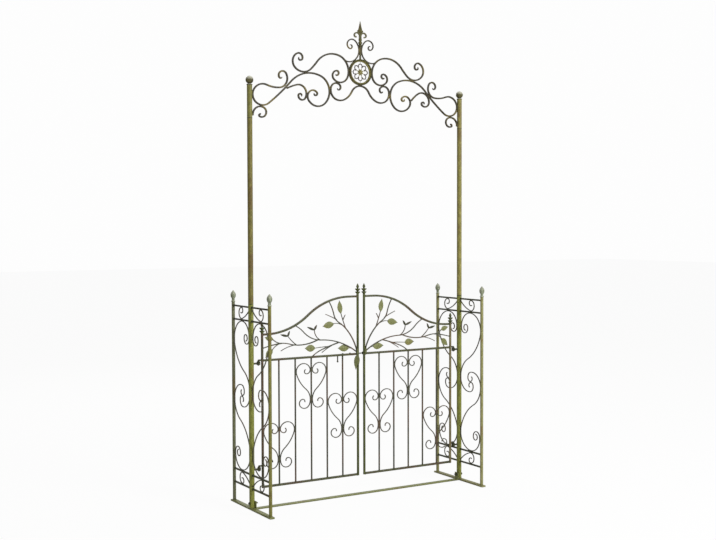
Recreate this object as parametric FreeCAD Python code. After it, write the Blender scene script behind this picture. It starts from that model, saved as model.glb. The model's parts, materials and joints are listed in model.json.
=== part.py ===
import FreeCAD, Part
import math
import os

# Garden arch with a pair of gate leaves, all in millimetres.
# X runs across the opening, Y is the depth with the front at -Y, Z is up.
# The origin is on the ground, midway between the two main posts.

# Driving dimensions of the arch
POST_HALF = 606.0        # half the distance between the main posts
PANEL_HALF = 195.0       # half the distance between front and rear posts
POST_TOP = 2000.0        # top of the tube under the ball
POST_R = 12.5
POST_WALL = 1.2
SIDE_R = 8.0
SIDE_WALL = 1.2
SIDE_TOP = 976.0
POST_SEAM = 975.0        # lower tube ends, upper tube begins
CROWN_SEAM = 1847.0      # upper tube ends, crown sleeve begins
COUPLER_LENGTH = 90.0
COUPLER_WALL = 1.5

# Feet and ground bar
BASE_WIDTH = 25.0
BASE_THICK = 8.0
BASE_HALF = 213.0
TIE_WIDTH = 30.0
TIE_THICK = 5.0
TAB_TOP = 40.0
TIE_BOLT_Z = 30.0
TIE_BOLT_R = 3.0

# Side panel
RAIL = 8.0               # square bar of the panel rails
PANEL_RAILS = {"top": (959.0, 894.0), "bottom": (165.0, 100.0)}
PANEL_BAR = 4.5          # square bar of the panel scrolls

# Gate leaves, measured as distance u from the middle of the opening
HINGE_U = 568.0
HINGE_STILE_U = 548.0
MEETING_STILE_U = 18.5
STILE_R = 6.0
LEAF_BOTTOM = 96.0
HINGE_STILE_TOP = 834.0
MEETING_STILE_TOP = 1003.0
LEAF_RAIL = 10.0
BOTTOM_RAIL_Z = 101.0
MID_RAIL_Z = 705.0
TOP_RAIL_HINGE_Z = 828.0
TOP_RAIL_MEETING_Z = 992.0
TOP_RAIL_SWEEP = (73.0, 526.0)   # u of the crest and of the foot of the S curve
BAR_COUNT = 5
BAR_R = 4.0
HEART_BAR = 4.5
HEART_TOPS = {1: 401.0, 3: 676.0, 5: 517.0}   # bar counted from the hinge: top of its heart

# Hinges
PIN_R = 4.0
EYE_BORE_R = 4.08
EYE_R = 9.0
EYE_HEIGHT = 14.0
PIN_DROP = 25.0
HINGE_ARMS_Z = (203.0, 707.0)

# Sliding bolt behind the middle rail
BOLT_R = 3.0
BOLT_Y = 10.0
BOLT_Z = 706.0
BOLT_TIP_X = 11.5
BOLT_HANDLE_X = -129.0
BOLT_HANDLE_DROP = 34.0
BOLT_KNOB_R = 4.5
GUIDE_R = 6.0
GUIDE_BORE = 3.4
GUIDES_X = (-100.0, -58.0, -MEETING_STILE_U)
KEEPER_R = 7.5           # loose staple that the tip enters on the other leaf
KEEPER_BORE = 5.0
GUIDE_LENGTH = 6.0

# Crown
CROWN_BAR = 8.0
CREST_BAR = 6.0
CURL_BAR = 6.5           # pair of curls under the head of the spear
RING_Z = 2100.0
RING_R = 64.0
RING_WALL = 7.0
RING_DEPTH = 14.0
STEM_R = 5.0
BALL_R = 18.5

# Rosette inside the ring: a rim, eight lobes, a star of eight straight bars and a boss
RIM_WALL = 3.0
LOBES = 8
LOBE_CENTRE = 38.5       # distance of a lobe's centre from the middle
LOBE_R = 16.0
LOBE_WALL = 3.2
LOBES_BORE = 36.0        # round opening inside the lobes
STAR_R = 38.0
STAR_STEP = 3            # a bar of the star joins every third point
STAR_BAR = 3.0
SPOKE_REACH = 15.0       # from the boss to the middle of each bar of the star
BOSS_R = 6.0
ROSETTE_DEPTH = 5.0
BOSS_DEPTH = 8.0

# Each scroll: start point, heading in degrees, then (radius, turn) of tangent arcs.
# A positive turn is to the left of the direction of travel.
CROWN_OUTER = ((-447, 2044.5), 143, (
    (14, -51), (21.5, -154), (46, -112), (152, -26), (56, 81), (47, 87), (54, 70),
    (1030, 9), (147, -68), (79, -116), (60, -99), (32, -99), (27.5, -74), (9, -159)))
CROWN_SMALL_LEFT = ((-410, 1996.5), 28, (
    (230, -15), (41, -134), (20.5, -144), (9.5, -131)))
CROWN_SMALL_RIGHT = ((303, 1976.5), 52, (
    (159, -20), (45, -120), (25.5, -140), (8.5, -166)))
CROWN_BRACKET = ((-590, 1859.5), 89, (
    (80, -7), (40, -105), (24, -181), (6, -125), (7.5, -44)))
CROWN_UPPER = ((-341, 2137.5), -29, (
    (11.5, 111), (20.5, 123), (42, 111), (63, 88), (355, 8), (112, -69), (78, -89),
    (48, -120), (24.5, -130), (11, -185)))
CROWN_LOWER = ((0, 2032.4), 180, (
    (55, 63), (91, -38), (60, -43), (48, -87), (30, -116), (15, -101)))
CROWN_CREST = ((-89.5, 2152.5), -23, (
    (59, 164), (28, 108), (21.5, 92), (10, 143)))
HEART = ((-31.5, -29.5), 208, (
    (11.5, 147), (19.5, 117), (39, 177), (167, 31), (67, -69),
    (30, -127), (20.5, -118), (11, -116)))
PANEL_S = ((56.5, 796), 184, (
    (14, -87), (16.5, -88), (17, -89), (26.5, -91), (27, -90), (72, -90),
    (89, -116), (210, -46), (111, 63), (71, 101), (28.5, 91), (19, 87),
    (17, 82), (8.5, 82)))
BAND_J = ((14, 948.5), -46, (
    (173, 32), (27, 107), (26, 102), (12.5, 103), (14.5, 98)))

# Vine in the upper part of a leaf, as (u, z) points
STEM_DEPTH = 5.0
MAIN_STEM_W = 6.5
TWIG_W = 4.5
TIP_W = 3.0
LEAF_THICK = 3.0
NEARLY_STRAIGHT = 0.05   # a stretch that bends less than this is drawn as a line
VINE_STEMS = {
    "main_branch": ((23, 714), (76, 747), (126, 768), (226, 785), (324, 828), (370, 862)),
    "upright_branch": ((23, 718), (50, 784), (85, 832), (126, 866), (155, 906), (182, 971)),
    "rear_branch": ((244, 788), (300, 771), (348, 767), (402, 775), (444, 781), (490, 801)),
    "low_branch": ((126, 768), (176, 754), (226, 737), (275, 709)),
    "stile_twig": ((444, 781), (496, 774), (543, 763)),
}
VINE_TWIGS = {
    "leaf_twig_low": ((452, 780), (478, 768), (494, 752)),
    "plain_twig_low": ((372, 769), (410, 761), (449, 744)),
    "bud_twig_low": ((363, 768), (390, 790), (411, 814)),
    "bud_twig_high": ((233, 786), (256, 806), (265, 837)),
    "plain_twig_high": ((138, 880), (172, 897), (203, 910)),
    "leaf_twig_high": ((113, 855), (134, 862), (160, 861)),
    "leaf_twig_up": ((88, 835), (102, 871), (116, 914)),
    "side_twig_up": ((103, 878), (98, 890), (90, 903)),
    "leaf_twig_mid": ((188, 751), (225, 750), (264, 747)),
    "plain_twig_mid": ((161, 758), (194, 742), (224, 723)),
    "base_leaf_twig": ((36, 722), (50, 732), (72, 737)),
    "bud_low_outer": ((411, 814), (430, 821), (449, 822)),
    "bud_low_inner": ((411, 814), (409, 825), (401, 836)),
    "bud_high_outer": ((265, 837), (284, 847), (304, 851)),
    "bud_high_inner": ((265, 837), (262, 848), (251, 858)),
}
VINE_LEAVES = {
    "hinge_high": ((489, 801), (532, 813), 25),
    "hinge_low": ((493, 754), (529, 718), 30),
    "branch_side": ((156, 861), (216, 851), 33),
    "branch_top": ((116, 910), (124, 972), 28),
    "middle": ((261, 747), (316, 749), 34),
    "base": ((70, 737), (131, 739), 34),
}
# A bract in front of each meeting stile, and two leaves that hang from the left one
BRACT = ((22, 698), (25, 738), 12)
HANGING_LEAVES = (((33, 699), (35, 630), 21), ((27, 704), (20, 646), 24))
FRONT_Y = -8.5           # they stand on a stub in front of the middle rail
FRONT_THICK = 2.0
STUB_U = 26.0
STUB_R = 3.0

GATE_TURN = FreeCAD.Rotation(FreeCAD.Vector(1, 0, 0), 90)
PANEL_TURN = FreeCAD.Rotation(FreeCAD.Vector(1, 1, 1), 120)


def vec(x, y, z=0.0):
    return FreeCAD.Vector(x, y, z)


def across(angle):
    # Unit vector to the left of a heading in radians
    return vec(-math.sin(angle), math.cos(angle))


def rod(radius, start, end):
    return Part.makeCylinder(radius, (end - start).Length, start, end - start)


def tube(radius, wall, x, y, z0, z1):
    outer = Part.makeCylinder(radius, z1 - z0, vec(x, y, z0))
    return outer.cut(Part.makeCylinder(radius - wall, z1 - z0, vec(x, y, z0)))


def block(x0, x1, y0, y1, z0, z1):
    return Part.makeBox(abs(x1 - x0), abs(y1 - y0), abs(z1 - z0),
                        vec(min(x0, x1), min(y0, y1), min(z0, z1)))


def mirrored(shape):
    return shape.mirror(vec(0, 0, 0), vec(1, 0, 0))


def turned(profile, x, y, z):
    # A solid of revolution from (radius, height) points that start and end on the axis. A third
    # value swells the stretch that ends at its point: the rise of the arc, outward when positive
    edges = []
    for (r0, h0, *_), (r1, h1, *swell) in zip(profile, profile[1:]):
        start, end = vec(r0, 0, h0), vec(r1, 0, h1)
        outward = vec(h1 - h0, 0, r0 - r1).normalize()
        middle = (start + end) / 2 + outward * (swell[0] if swell else 0)
        edges.append(arc_or_line(start, middle, end))
    edges.append(Part.makeLine(end, vec(profile[0][0], 0, profile[0][1])))
    solid = Part.Face(Part.Wire(edges)).revolve(vec(0, 0, 0), vec(0, 0, 1), 360)
    solid.translate(vec(x, y, z))
    return solid


def arc_or_line(start, middle, end):
    # The arc through three points, or a line where they hardly bend
    if middle.distanceToLine(start, end - start) < NEARLY_STRAIGHT:
        return Part.makeLine(start, end)
    return Part.Arc(start, middle, end).toShape()


def drawn(shape, turn):
    # A flat shape drawn in its own XY plane, stood up in the gate plane or a panel plane
    shape.Placement = FreeCAD.Placement(vec(0, 0, 0), turn).multiply(shape.Placement)
    return shape


def arc_edges(scroll, side):
    # The edge of a scroll at the distance side to the left of its centre line
    (x, y), heading, arcs = scroll
    angle = math.radians(heading)
    edges = []
    for radius, turn in arcs:
        sign = math.copysign(1, turn)
        cx = x - sign * radius * math.sin(angle)
        cy = y + sign * radius * math.cos(angle)
        reach = sign * radius - side
        points = []
        for part in (0, 0.5, 1):
            a = angle + math.radians(turn) * part
            points.append(vec(cx + reach * math.sin(a), cy - reach * math.cos(a)))
        edges.append(Part.Arc(*points).toShape())
        angle += math.radians(turn)
        x = cx + sign * radius * math.sin(angle)
        y = cy - sign * radius * math.cos(angle)
    return edges


def bar_between(left, right, depth, turn):
    # A bar between two rows of edges, closed by a line at either end
    caps = [Part.makeLine(left[i].Vertexes[i].Point, right[i].Vertexes[i].Point) for i in (0, -1)]
    wire = Part.Wire(Part.__sortEdges__(left + right + caps))
    solid = Part.Face(wire).extrude(vec(0, 0, depth))
    solid.translate(vec(0, 0, -depth / 2))
    return drawn(solid, turn)


def scroll_bar(scroll, bar, turn):
    # A square bar bent along tangent arcs
    return bar_between(arc_edges(scroll, bar / 2), arc_edges(scroll, -bar / 2), bar, turn)


def moved(scroll, dx, dz):
    (x, z), heading, arcs = scroll
    return (x + dx, z + dz), heading, arcs


def tapered_stem(points, start_w, end_w):
    # A flat-sided stem of tangent arcs through the points, thinner at its end
    points = [vec(u, z) for u, z in points]
    chord, following = points[1] - points[0], points[2] - points[1]
    bend = math.atan2(chord.cross(following).z, chord.dot(following))
    share = chord.Length / (chord.Length + following.Length)
    heading = math.atan2(chord.y, chord.x) - bend * share
    spans = len(points) - 1
    left, right = [], []
    for i in range(spans):
        chord = points[i + 1] - points[i]
        direction = math.atan2(chord.y, chord.x)
        swing = math.remainder(direction - heading, 2 * math.pi)
        sag = chord.Length / 2 * math.tan(swing / 2)
        stations = ((points[i], heading, i),
                    (points[i] + chord / 2 - across(direction) * sag, direction, i + 0.5),
                    (points[i + 1], direction + swing, i + 1))
        for edges, sign in ((left, 1), (right, -1)):
            widths = [start_w + (end_w - start_w) * at / spans for _, _, at in stations]
            edges.append(arc_or_line(*[place + across(angle) * sign * width / 2
                                       for (place, angle, _), width in zip(stations, widths)]))
        heading = direction + swing
    return bar_between(left, right, STEM_DEPTH, GATE_TURN)


def leaf_plate(base, tip, width, thick=LEAF_THICK):
    # An almond plate between two arcs, with a raised rib down its middle
    base, tip = vec(*base), vec(*tip)
    along = tip - base
    side = vec(-along.y, along.x).normalize()
    middle = base + along * 0.45
    edges = [Part.Arc(base, middle + side * width / 2, tip).toShape(),
             Part.Arc(tip, middle - side * width / 2, base).toShape()]
    plate = Part.Face(Part.Wire(edges)).extrude(vec(0, 0, thick))
    plate.translate(vec(0, 0, -thick / 2))
    rib_end = base + along * 0.85
    rib = Part.Face(Part.makePolygon([base + side * 1.5, base - side * 1.5,
                                      rib_end - side * 0.6, rib_end + side * 0.6,
                                      base + side * 1.5])).extrude(vec(0, 0, thick + 1.6))
    rib.translate(vec(0, 0, -thick / 2 - 0.8))
    return drawn(plate.fuse(rib), GATE_TURN)


def cut_all(shape, tools):
    for tool in tools:
        shape = shape.cut(tool)
    return shape


def group(shapes):
    return Part.makeCompound([solid for shape in shapes for solid in shape.Solids])


def main_post(sign):
    # Lower tube, upper tube, crown sleeve, the couplers inside them and the ball on top
    x = sign * POST_HALF
    lower = tube(POST_R, POST_WALL, x, 0, BASE_THICK, POST_SEAM)
    bolt_hole = rod(TIE_BOLT_R + 0.3, vec(x - 20, 0, TIE_BOLT_Z), vec(x + 20, 0, TIE_BOLT_Z))
    lower = lower.cut(bolt_hole)
    upper = tube(POST_R, POST_WALL, x, 0, POST_SEAM, CROWN_SEAM)
    sleeve = tube(POST_R, POST_WALL, x, 0, CROWN_SEAM, POST_TOP)
    bore = POST_R - POST_WALL
    couplers = [tube(bore, COUPLER_WALL, x, 0, seam - COUPLER_LENGTH / 2,
                     seam + COUPLER_LENGTH / 2) for seam in (POST_SEAM, CROWN_SEAM)]
    neck = ((0, -12), (bore, -12), (bore, 0), (POST_R, 0), (POST_R, 5, 1.8), (9, 6), (9, 10), (0, 10))
    ball = turned(neck, x, 0, POST_TOP).fuse(
        Part.makeSphere(BALL_R, vec(x, 0, POST_TOP + 6 + BALL_R)))
    return lower, upper, sleeve, couplers, ball


def side_finial(x, y):
    # Neck ring and acorn on a front or rear post, with the plug that goes into the tube
    bore = SIDE_R - SIDE_WALL
    profile = ((0, -10), (bore, -10), (bore, 0), (9, 0), (9, 4, 1.6), (7.6, 5), (7.6, 17, -0.4),
               (12.2, 26, 0.8), (12.6, 37, 0.7), (7, 48, 0.8), (2.5, 54), (0, 56))
    return turned(profile, x, y, SIDE_TOP)


def side_panel(sign, parts, prefix):
    x = sign * POST_HALF
    posts = []
    for place, y in (("front", -PANEL_HALF), ("rear", PANEL_HALF)):
        post = tube(SIDE_R, SIDE_WALL, x, y, BASE_THICK, SIDE_TOP)
        parts[prefix + place + "_post"] = post
        posts.append(post)
    parts[prefix + "base_bar"] = block(x - BASE_WIDTH / 2, x + BASE_WIDTH / 2,
                                       -BASE_HALF, BASE_HALF, 0, BASE_THICK)
    solids = [rod(POST_R, vec(x, 0, BASE_THICK), vec(x, 0, POST_SEAM))]
    solids += [rod(SIDE_R, vec(x, y, BASE_THICK), vec(x, y, SIDE_TOP))
               for y in (-PANEL_HALF, PANEL_HALF)]
    rails = []
    for level, heights in PANEL_RAILS.items():
        bars = []
        for z in heights:
            for y in (-PANEL_HALF, 0):
                bar = block(x - RAIL / 2, x + RAIL / 2, y, y + PANEL_HALF, z - RAIL / 2, z + RAIL / 2)
                bars.append(cut_all(bar, solids))
        parts[prefix + "panel_" + level + "_rails"] = group(bars)
        rails += bars
    half = [scroll_bar(PANEL_S, PANEL_BAR, PANEL_TURN)]
    lower = half[0].copy()
    middle_y = (POST_R + PANEL_HALF - SIDE_R) / 2
    middle_z = (PANEL_RAILS["top"][1] + PANEL_RAILS["bottom"][0]) / 2
    lower.rotate(vec(0, middle_y, middle_z), vec(1, 0, 0), 180)
    half.append(lower.cut(half[0]))
    bands = [scroll_bar(BAND_J, PANEL_BAR, PANEL_TURN)]
    band_middle = (PANEL_RAILS["top"][0] + PANEL_RAILS["bottom"][1]) / 2
    bands.append(bands[0].mirror(vec(0, 0, band_middle), vec(0, 0, 1)))
    for name, shapes in (("panel_scrolls", half), ("band_scrolls", bands)):
        whole = shapes + [shape.mirror(vec(0, 0, 0), vec(0, 1, 0)) for shape in shapes]
        for shape in whole:
            shape.translate(vec(x, 0, 0))
        parts[prefix + name] = group([cut_all(shape, solids + rails) for shape in whole])


def tie_bar():
    # Flat bar on the ground with its two ends turned up against the main posts
    inner = POST_HALF - POST_R
    bar = block(-inner, inner, -TIE_WIDTH / 2, TIE_WIDTH / 2, 0, TIE_THICK)
    for sign in (-1, 1):
        bar = bar.fuse(block(sign * inner, sign * (inner - TIE_THICK),
                             -TIE_WIDTH / 2, TIE_WIDTH / 2, 0, TAB_TOP))
        bar = bar.cut(rod(TIE_BOLT_R + 0.3, vec(sign * (inner - 10), 0, TIE_BOLT_Z),
                          vec(sign * (inner + 5), 0, TIE_BOLT_Z)))
    return bar.removeSplitter()


def tie_bolt(sign, post):
    # Hexagon head outside the post, shank through post and tab, wing nut inside
    outer = POST_HALF + POST_R
    inner = POST_HALF - POST_R - TIE_THICK
    shank = rod(TIE_BOLT_R, vec(sign * outer, 0, TIE_BOLT_Z), vec(sign * (inner - 9), 0, TIE_BOLT_Z))
    corners = [vec(sign * (outer - 0.6), 5.5 * math.cos(math.radians(60 * i)),
                   TIE_BOLT_Z + 5.5 * math.sin(math.radians(60 * i))) for i in range(7)]
    head = Part.Face(Part.makePolygon(corners)).extrude(vec(sign * 4.6, 0, 0)).cut(post)
    hub = rod(5.0, vec(sign * inner, 0, TIE_BOLT_Z), vec(sign * (inner - 6), 0, TIE_BOLT_Z))
    wing = block(sign * (inner - 2), sign * (inner - 5), -13, 13, TIE_BOLT_Z - 3, TIE_BOLT_Z + 6)
    return shank.fuse([head, hub, wing])


def hinge_eyes(sign):
    # Ring on a short rod, welded to the main post
    eyes = []
    post = rod(POST_R, vec(sign * POST_HALF, 0, 0), vec(sign * POST_HALF, 0, POST_TOP))
    for arm_z in HINGE_ARMS_Z:
        top = arm_z - PIN_R - 3.3
        ring = Part.makeCylinder(EYE_R, EYE_HEIGHT, vec(sign * HINGE_U, 0, top - EYE_HEIGHT))
        z = top - EYE_HEIGHT / 2
        arm = rod(4.5, vec(sign * POST_HALF, 0, z), vec(sign * HINGE_U, 0, z))
        bore = Part.makeCylinder(EYE_BORE_R, EYE_HEIGHT + 2, vec(sign * HINGE_U, 0, top - EYE_HEIGHT - 1))
        eyes.append(ring.fuse(arm).cut(bore).cut(post))
    return group(eyes)


def hinge_pins(stile):
    # L-shaped pins of a left leaf, with the collar that rests on the eye
    pins = []
    for z in HINGE_ARMS_Z:
        arm = rod(PIN_R, vec(-HINGE_U, 0, z), vec(-HINGE_STILE_U, 0, z)).cut(stile)
        elbow = Part.makeSphere(PIN_R, vec(-HINGE_U, 0, z))
        pin = Part.makeCylinder(PIN_R, PIN_DROP, vec(-HINGE_U, 0, z - PIN_DROP))
        collar = Part.makeCylinder(6.5, 4.0, vec(-HINGE_U, 0, z - PIN_R - 3.0))
        pins.append(arm.fuse([elbow, pin, collar]))
    return group(pins)


def top_rail(solids):
    # Two equal tangent arcs between a level end at each stile
    crest, foot = TOP_RAIL_SWEEP
    run = foot - crest
    rise = TOP_RAIL_MEETING_Z - TOP_RAIL_HINGE_Z
    radius = (run ** 2 + rise ** 2) / (4 * rise)
    angle = math.degrees(2 * math.atan(rise / run))
    flat_end = block(-HINGE_STILE_U, -foot, -LEAF_RAIL / 2, LEAF_RAIL / 2,
                     TOP_RAIL_HINGE_Z - LEAF_RAIL / 2, TOP_RAIL_HINGE_Z + LEAF_RAIL / 2)
    sweep = scroll_bar(((-foot, TOP_RAIL_HINGE_Z), 0, ((radius, angle), (radius, -angle))),
                       LEAF_RAIL, GATE_TURN)
    flat_top = block(-crest, -MEETING_STILE_U, -LEAF_RAIL / 2, LEAF_RAIL / 2,
                     TOP_RAIL_MEETING_Z - LEAF_RAIL / 2, TOP_RAIL_MEETING_Z + LEAF_RAIL / 2)
    return cut_all(flat_end.fuse([sweep, flat_top]), solids)


def stile_finial(u, z):
    # Two open cups on a stem, and a small spire
    cup, stem_r = STILE_R * 2.1, 4.5
    profile = ((0, 0), (STILE_R, 0), (STILE_R, 2), (cup, 10, -1), (cup - 1, 10.8), (stem_r, 6.5),
               (stem_r, 15), (cup + 1, 25, -1.2), (cup, 25.8), (stem_r, 20.5), (stem_r - 1, 31),
               (7.2, 34), (2.2, 49, -0.6), (0, 54))
    return turned(profile, -u, 0, z)


def gate_leaf():
    # All fixed pieces of the left leaf, the right one is its mirror image
    leaf = {}
    hinge = Part.makeCylinder(STILE_R, HINGE_STILE_TOP - LEAF_BOTTOM, vec(-HINGE_STILE_U, 0, LEAF_BOTTOM))
    meeting = Part.makeCylinder(STILE_R, MEETING_STILE_TOP - LEAF_BOTTOM,
                                vec(-MEETING_STILE_U, 0, LEAF_BOTTOM))
    leaf["hinge_stile"] = hinge
    leaf["meeting_stile"] = meeting
    stiles = [hinge, meeting]
    half = LEAF_RAIL / 2
    for name, z in (("bottom_rail", BOTTOM_RAIL_Z), ("mid_rail", MID_RAIL_Z)):
        rail = block(-HINGE_STILE_U, -MEETING_STILE_U, -half, half, z - half, z + half)
        leaf[name] = cut_all(rail, stiles)
    leaf["top_rail"] = top_rail(stiles)
    pitch = (HINGE_STILE_U - MEETING_STILE_U) / (BAR_COUNT + 1)
    bars = [Part.makeCylinder(BAR_R, MID_RAIL_Z - BOTTOM_RAIL_Z - LEAF_RAIL,
                              vec(-HINGE_STILE_U + pitch * (i + 1), 0, BOTTOM_RAIL_Z + half))
            for i in range(BAR_COUNT)]
    leaf["bars"] = group(bars)
    hearts = []
    for bar, top in HEART_TOPS.items():
        x = -HINGE_STILE_U + pitch * bar
        one = scroll_bar(moved(HEART, 0, top), HEART_BAR, GATE_TURN)
        for side in (one, mirrored(one)):
            side.translate(vec(x, 0, 0))
            hearts.append(cut_all(side, stiles + bars))
    leaf["heart_scrolls"] = group(hearts)
    rails = [leaf["mid_rail"], leaf["top_rail"]]
    shapes = []
    for table, width, end_w in ((VINE_STEMS, MAIN_STEM_W, TWIG_W), (VINE_TWIGS, TWIG_W, TIP_W)):
        for points in table.values():
            shapes.append(tapered_stem([(-u, z) for u, z in points], width, end_w))
    stems = cut_all(shapes[0].fuse(shapes[1:]), stiles + rails)
    leaf["vine_stems"] = stems
    leaves = [leaf_plate((-base[0], base[1]), (-tip[0], tip[1]), width)
              for base, tip, width in VINE_LEAVES.values()]
    leaves = [cut_all(plate, [stems] + stiles + rails) for plate in leaves]
    leaf["vine_leaves"] = group(leaves + [front_leaves([BRACT], stiles + rails)])
    leaf["hanging_spray"] = group(leaves + [front_leaves([BRACT, *HANGING_LEAVES], stiles + rails)])
    leaf["stile_finials"] = group([stile_finial(HINGE_STILE_U, HINGE_STILE_TOP),
                                   stile_finial(MEETING_STILE_U, MEETING_STILE_TOP)])
    leaf["hinge_pins"] = hinge_pins(hinge)
    return leaf


def front_leaves(leaves, neighbours):
    # Thin leaves held in front of the middle rail by a stub
    z = MID_RAIL_Z - 1
    stub = rod(STUB_R, vec(-STUB_U, -LEAF_RAIL / 2, z), vec(-STUB_U, FRONT_Y - FRONT_THICK / 2, z))
    plates = []
    for base, tip, width in leaves:
        plate = leaf_plate((-base[0], base[1]), (-tip[0], tip[1]), width, FRONT_THICK)
        plate.translate(vec(0, FRONT_Y, 0))
        plates.append(plate)
    return cut_all(stub.fuse(plates), neighbours)


def guide_ring(x, outer, bore, neighbours):
    # Short sleeve about the bolt, trimmed where it is welded to the leaf
    start = vec(x - GUIDE_LENGTH / 2, BOLT_Y, BOLT_Z)
    end = vec(x + GUIDE_LENGTH / 2, BOLT_Y, BOLT_Z)
    return cut_all(rod(outer, start, end).cut(rod(bore, start, end)), neighbours)


def latch_bolt():
    shank = rod(BOLT_R, vec(BOLT_HANDLE_X, BOLT_Y, BOLT_Z), vec(BOLT_TIP_X, BOLT_Y, BOLT_Z))
    elbow = Part.makeSphere(BOLT_R, vec(BOLT_HANDLE_X, BOLT_Y, BOLT_Z))
    handle = rod(BOLT_R, vec(BOLT_HANDLE_X, BOLT_Y, BOLT_Z),
                 vec(BOLT_HANDLE_X, BOLT_Y, BOLT_Z - BOLT_HANDLE_DROP))
    knob = Part.makeSphere(BOLT_KNOB_R, vec(BOLT_HANDLE_X, BOLT_Y, BOLT_Z - BOLT_HANDLE_DROP))
    return shank.fuse([elbow, handle, knob])


def crown(posts):
    parts = {}
    ring = disc(RING_R, RING_DEPTH)
    parts["crown_medallion_ring"] = ring.cut(disc(RING_R - RING_WALL, RING_DEPTH))
    parts["crown_medallion_rosette"] = rosette()
    spear = crown_spear().cut(ring)
    parts["crown_spear"] = spear
    outer = scroll_bar(CROWN_OUTER, CROWN_BAR, GATE_TURN)
    outer_pair = [outer, mirrored(outer)]
    small = scroll_bar(CROWN_SMALL_LEFT, CROWN_BAR, GATE_TURN)
    small_right = scroll_bar(CROWN_SMALL_RIGHT, CROWN_BAR, GATE_TURN)
    bracket = scroll_bar(CROWN_BRACKET, CROWN_BAR, GATE_TURN)
    for side, big, little, foot in (("left", outer, small, bracket),
                                    ("right", outer_pair[1], small_right, mirrored(bracket))):
        parts["crown_" + side + "_scrolls"] = group([
            cut_all(big, posts), little.cut(big), cut_all(foot, posts + [big])])
    upper = scroll_bar(CROWN_UPPER, CROWN_BAR, GATE_TURN)
    upper_pair = [upper, mirrored(upper)]
    parts["crown_upper_scrolls"] = group([cut_all(s, outer_pair + [ring]) for s in upper_pair])
    lower = scroll_bar(CROWN_LOWER, CROWN_BAR, GATE_TURN)
    wave = lower.fuse(mirrored(lower)).removeSplitter()
    parts["crown_lower_scroll"] = cut_all(wave, outer_pair + upper_pair + [ring])
    crest = scroll_bar(CROWN_CREST, CREST_BAR, GATE_TURN)
    parts["crown_crest_scrolls"] = group([cut_all(s, upper_pair + [ring, spear])
                                          for s in (crest, mirrored(crest))])
    return parts


def crown_spear():
    # Stem, beaded collars and a four-sided head with a pair of curls under it
    base = RING_Z + RING_R - 2
    stem = ((0, 0), (STEM_R, 0), (STEM_R, 63), (7.5, 65), (7.5, 73, 2), (6, 75), (6, 90, 3.6),
            (6.5, 92), (6.5, 100, 2), (STEM_R, 104), (6, 128), (0, 128))
    spear = turned(stem, 0, 0, base)
    sections = ((126, 6), (136, 16), (141, 18.5), (146, 12), (160, 8), (191, 0.6))
    flat = 0.6
    rings = []
    for height, reach in sections:
        z = base + height
        ring = [vec(reach, 0, z), vec(0, reach * flat, z), vec(-reach, 0, z), vec(0, -reach * flat, z)]
        rings.append(Part.makePolygon(ring + ring[:1]))
    head = Part.makeLoft(rings, True, True)
    curl = scroll_bar(((-5, base + 96), 75, ((60, 20), (16, 140), (9, 150))), CURL_BAR, GATE_TURN)
    return spear.fuse([head, curl, mirrored(curl)])


def disc(radius, depth, x=0.0, z=RING_Z):
    return Part.makeCylinder(radius, depth, vec(x, -depth / 2, z), vec(0, 1, 0))


def around(radius, turn):
    # X and Z of a point about the middle of the ring, turn counted in lobes
    angle = 2 * math.pi * turn / LOBES
    return radius * math.cos(angle), RING_Z + radius * math.sin(angle)


def rosette():
    # A plain geometric figure with no picture in it
    bore = RING_R - RING_WALL
    rim = disc(bore, ROSETTE_DEPTH).cut(disc(bore - RIM_WALL, ROSETTE_DEPTH))
    outer = [disc(LOBE_R, ROSETTE_DEPTH, *around(LOBE_CENTRE, i)) for i in range(LOBES)]
    inner = [disc(LOBE_R - LOBE_WALL, ROSETTE_DEPTH, *around(LOBE_CENTRE, i)) for i in range(LOBES)]
    foil = cut_all(outer[0].fuse(outer[1:]), inner + [disc(LOBES_BORE, ROSETTE_DEPTH)])
    star = []
    for i in range(LOBES):
        ends = [vec(x, 0, z) for x, z in (around(STAR_R, i + 0.5), around(STAR_R, i + 0.5 + STAR_STEP))]
        star.append(square_bar(*ends, STAR_BAR))
    for i in range(LOBES // 2):
        ends = [vec(x, 0, z) for x, z in (around(SPOKE_REACH, i), around(-SPOKE_REACH, i))]
        star.append(square_bar(*ends, STAR_BAR))
    return rim.fuse([foil, disc(BOSS_R, BOSS_DEPTH)] + star).removeSplitter()


def square_bar(p, q, size):
    along = q - p
    side = vec(-along.z, 0, along.x).normalize() * size / 2
    depth = vec(0, size / 2, 0)
    corners = [p + side + depth, p + side - depth, p - side - depth, p - side + depth]
    return Part.Face(Part.makePolygon(corners + corners[:1])).extrude(along)


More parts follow.
